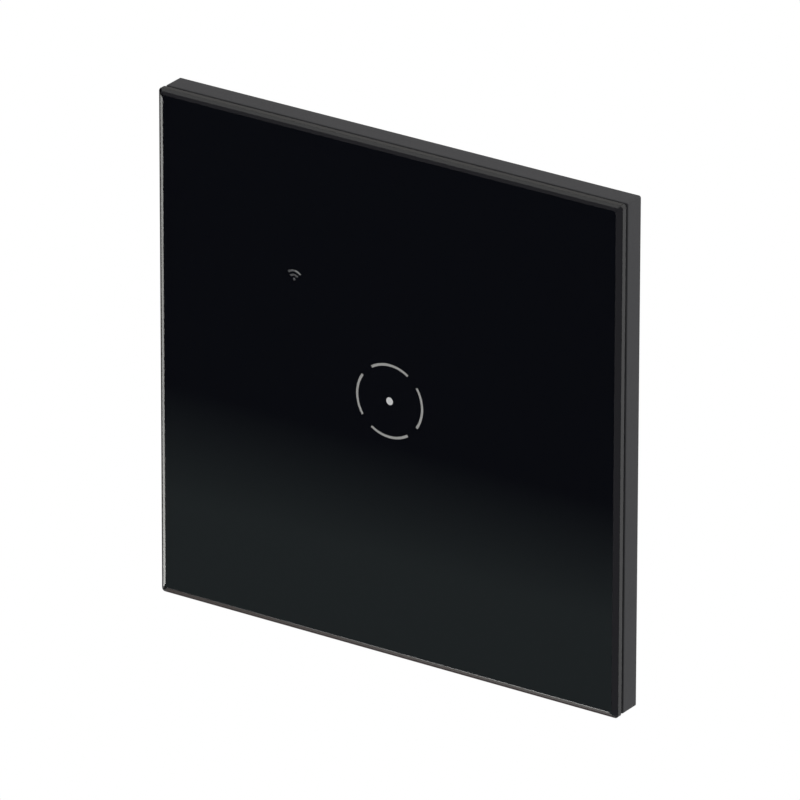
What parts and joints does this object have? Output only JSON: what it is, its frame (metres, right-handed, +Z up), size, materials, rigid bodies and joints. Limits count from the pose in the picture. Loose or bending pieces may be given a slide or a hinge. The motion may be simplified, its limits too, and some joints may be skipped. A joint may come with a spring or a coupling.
{
  "type": "touch light switch",
  "caption": "Square touch light switch: a bevelled black glass panel clipped to a slim mounting frame, with a wired relay module behind it for a wall box.",
  "frame": {"origin": "centre of the mounting frame's rear face, which lies on the wall", "axes": "+Y into the wall along the module, -Y out of the glass towards the user, +Z up, +X to the right seen from the front"},
  "size_m": [0.086, 0.0298, 0.086],
  "materials": {
    "clear_glass": "polished float glass with a ground bevel",
    "black_ink": "black ceramic print on the rear of the glass",
    "diffuser": "white translucent film",
    "bond_tape": "black foam tape",
    "carrier_plastic": "black moulded plastic",
    "frame_plastic": "fine-textured black moulded plastic",
    "white_plastic": "white moulded plastic",
    "clear_plastic": "clear moulded light pipe",
    "spring_wire": "gold-plated spring wire",
    "circuit_board": "green solder mask",
    "wireless_mask": "dark blue solder mask",
    "led_lens": "yellow phosphor lens",
    "chip_epoxy": "black moulded epoxy",
    "shield_tin": "tinned steel",
    "zinc_steel": "zinc-plated steel",
    "black_nylon": "black nylon",
    "gold_pin": "gold-plated pin",
    "relay_plastic": "blue moulded plastic",
    "soft_iron": "plated soft iron",
    "bobbin_plastic": "cream moulded plastic",
    "copper_wire": "enamelled copper wire",
    "contact_copper": "copper alloy",
    "ferrite": "dark ferrite",
    "winding_tape": "yellow polyester tape",
    "can_sleeve": "aluminium can in a dark sleeve",
    "yellow_box": "yellow box of a film capacitor",
    "blue_disc": "blue epoxy coating",
    "fuse_body": "tan lacquer",
    "terminal_plastic": "green moulded plastic",
    "terminal_brass": "tinned brass",
    "housing_plastic": "charcoal moulded plastic"
  },
  "bodies": {
    "front_panel": {"glass_panel": "clear_glass", "ink_mask": "black_ink", "diffuser_film": "diffuser", "bond_tape": "bond_tape", "panel_carrier": "carrier_plastic"},
    "switch_body": {"mounting_frame": "frame_plastic", "light_shroud": "white_plastic", "dot_light_pipe": "clear_plastic", "signal_light_pipe": "white_plastic", "touch_spring": "spring_wire", "sensor_board": "circuit_board", "touch_leds": "led_lens", "signal_led": "led_lens", "touch_chip": "chip_epoxy", "wireless_board": "wireless_mask", "wireless_shield": "shield_tin", "board_screws": "zinc_steel", "board_spacers": "white_plastic", "header_body": "black_nylon", "header_pins": "gold_pin", "power_board": "circuit_board", "relay_base": "black_nylon", "relay_case": "relay_plastic", "relay_yoke": "soft_iron", "relay_core": "soft_iron", "relay_bobbin": "bobbin_plastic", "relay_winding": "copper_wire", "relay_fixed_contact": "contact_copper", "transformer_core": "ferrite", "transformer_bobbin": "bobbin_plastic", "transformer_winding": "winding_tape", "electrolytic_capacitors": "can_sleeve", "film_capacitor": "yellow_box", "varistor": "blue_disc", "fuse": "fuse_body", "bridge_rectifier": "chip_epoxy", "terminal_block": "terminal_plastic", "terminal_contacts": "terminal_brass", "rear_housing": "housing_plastic", "housing_screws": "zinc_steel"},
    "relay_armature": {"relay_armature": "soft_iron", "relay_contact_leaf": "contact_copper"},
    "terminal_cage_1": {"terminal_cage_1": "zinc_steel"},
    "terminal_screw_1": {"terminal_screw_1": "zinc_steel"},
    "terminal_cage_2": {"terminal_cage_2": "zinc_steel"},
    "terminal_screw_2": {"terminal_screw_2": "zinc_steel"},
    "terminal_cage_3": {"terminal_cage_3": "zinc_steel"},
    "terminal_screw_3": {"terminal_screw_3": "zinc_steel"}
  },
  "joints": [
    {"name": "panel_pull", "type": "slide", "parent": "switch_body", "child": "front_panel", "axis": [0, -1, 0], "range_m": [0, 0.03]},
    {"name": "armature_tilt", "type": "hinge", "parent": "switch_body", "child": "relay_armature", "pos_m": [-0.0011, 0.0167, -0.00765], "axis": [0, 0, 1], "range_deg": [0, 2.4], "stiffness_Nm_per_rad": 0.0002},
    {"name": "screw_turn_1", "type": "hinge", "parent": "switch_body", "child": "terminal_screw_1", "pos_m": [-0.00762, 0.02, -0.0182], "axis": [0, -1, 0], "range_deg": [0, 1801]},
    {"name": "cage_rise_1", "type": "slide", "parent": "switch_body", "child": "terminal_cage_1", "axis": [0, 1, 0], "range_m": [0, 0.0025]},
    {"name": "screw_turn_2", "type": "hinge", "parent": "switch_body", "child": "terminal_screw_2", "pos_m": [0, 0.02, -0.0182], "axis": [0, -1, 0], "range_deg": [0, 1801]},
    {"name": "cage_rise_2", "type": "slide", "parent": "switch_body", "child": "terminal_cage_2", "axis": [0, 1, 0], "range_m": [0, 0.0025]},
    {"name": "screw_turn_3", "type": "hinge", "parent": "switch_body", "child": "terminal_screw_3", "pos_m": [0.00762, 0.02, -0.0182], "axis": [0, -1, 0], "range_deg": [0, 1801]},
    {"name": "cage_rise_3", "type": "slide", "parent": "switch_body", "child": "terminal_cage_3", "axis": [0, 1, 0], "range_m": [0, 0.0025]}
  ],
  "couplings": [
    {"joint": "screw_turn_1", "follows": "cage_rise_1", "rad_per_m": 12566},
    {"joint": "screw_turn_2", "follows": "cage_rise_2", "rad_per_m": 12566},
    {"joint": "screw_turn_3", "follows": "cage_rise_3", "rad_per_m": 12566}
  ]
}
